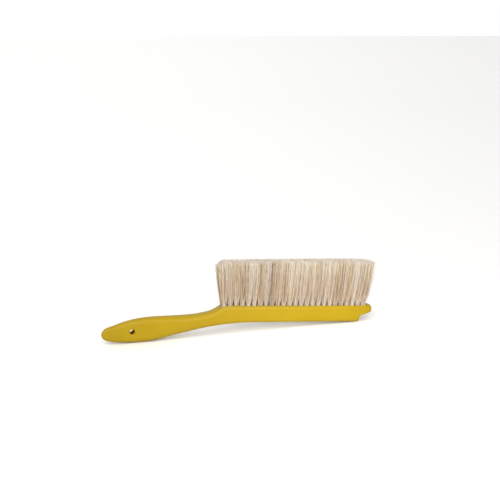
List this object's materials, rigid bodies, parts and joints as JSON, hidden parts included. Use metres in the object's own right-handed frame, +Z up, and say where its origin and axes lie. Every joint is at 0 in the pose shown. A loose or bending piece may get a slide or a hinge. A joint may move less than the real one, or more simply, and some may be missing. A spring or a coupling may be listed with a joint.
{
  "type": "bee brush",
  "caption": "Slim one-piece moulded hand brush with two long rows of soft hair tufts, a hanging hole in the grip and a stepped nose, for sweeping bees off combs.",
  "frame": {"origin": "middle of the footprint on the surface that the brush rests on, lying on its back with the tufts up", "axes": "+X from the grip towards the nose, +Y across the brush, +Z up, away from the surface"},
  "size_m": [0.359, 0.0214, 0.0942],
  "materials": {
    "handle_plastic": "yellow moulded plastic, satin",
    "tuft_hair": "natural pale hair, matt, trimmed level"
  },
  "bodies": {
    "root": {"handle": "handle_plastic", "front_tuft_01": "tuft_hair", "front_tuft_02": "tuft_hair", "front_tuft_03": "tuft_hair", "front_tuft_04": "tuft_hair", "front_tuft_05": "tuft_hair", "front_tuft_06": "tuft_hair", "front_tuft_07": "tuft_hair", "front_tuft_08": "tuft_hair", "front_tuft_09": "tuft_hair", "front_tuft_10": "tuft_hair", "front_tuft_11": "tuft_hair", "front_tuft_12": "tuft_hair", "front_tuft_13": "tuft_hair", "front_tuft_14": "tuft_hair", "front_tuft_15": "tuft_hair", "front_tuft_16": "tuft_hair", "front_tuft_17": "tuft_hair", "front_tuft_18": "tuft_hair", "front_tuft_19": "tuft_hair", "front_tuft_20": "tuft_hair", "front_tuft_21": "tuft_hair", "front_tuft_22": "tuft_hair", "front_tuft_23": "tuft_hair", "front_tuft_24": "tuft_hair", "front_tuft_25": "tuft_hair", "rear_tuft_01": "tuft_hair", "rear_tuft_02": "tuft_hair", "rear_tuft_03": "tuft_hair", "rear_tuft_04": "tuft_hair", "rear_tuft_05": "tuft_hair", "rear_tuft_06": "tuft_hair", "rear_tuft_07": "tuft_hair", "rear_tuft_08": "tuft_hair", "rear_tuft_09": "tuft_hair", "rear_tuft_10": "tuft_hair", "rear_tuft_11": "tuft_hair", "rear_tuft_12": "tuft_hair", "rear_tuft_13": "tuft_hair", "rear_tuft_14": "tuft_hair", "rear_tuft_15": "tuft_hair", "rear_tuft_16": "tuft_hair", "rear_tuft_17": "tuft_hair", "rear_tuft_18": "tuft_hair", "rear_tuft_19": "tuft_hair", "rear_tuft_20": "tuft_hair", "rear_tuft_21": "tuft_hair", "rear_tuft_22": "tuft_hair", "rear_tuft_23": "tuft_hair", "rear_tuft_24": "tuft_hair", "rear_tuft_25": "tuft_hair"}
  },
  "joints": []
}
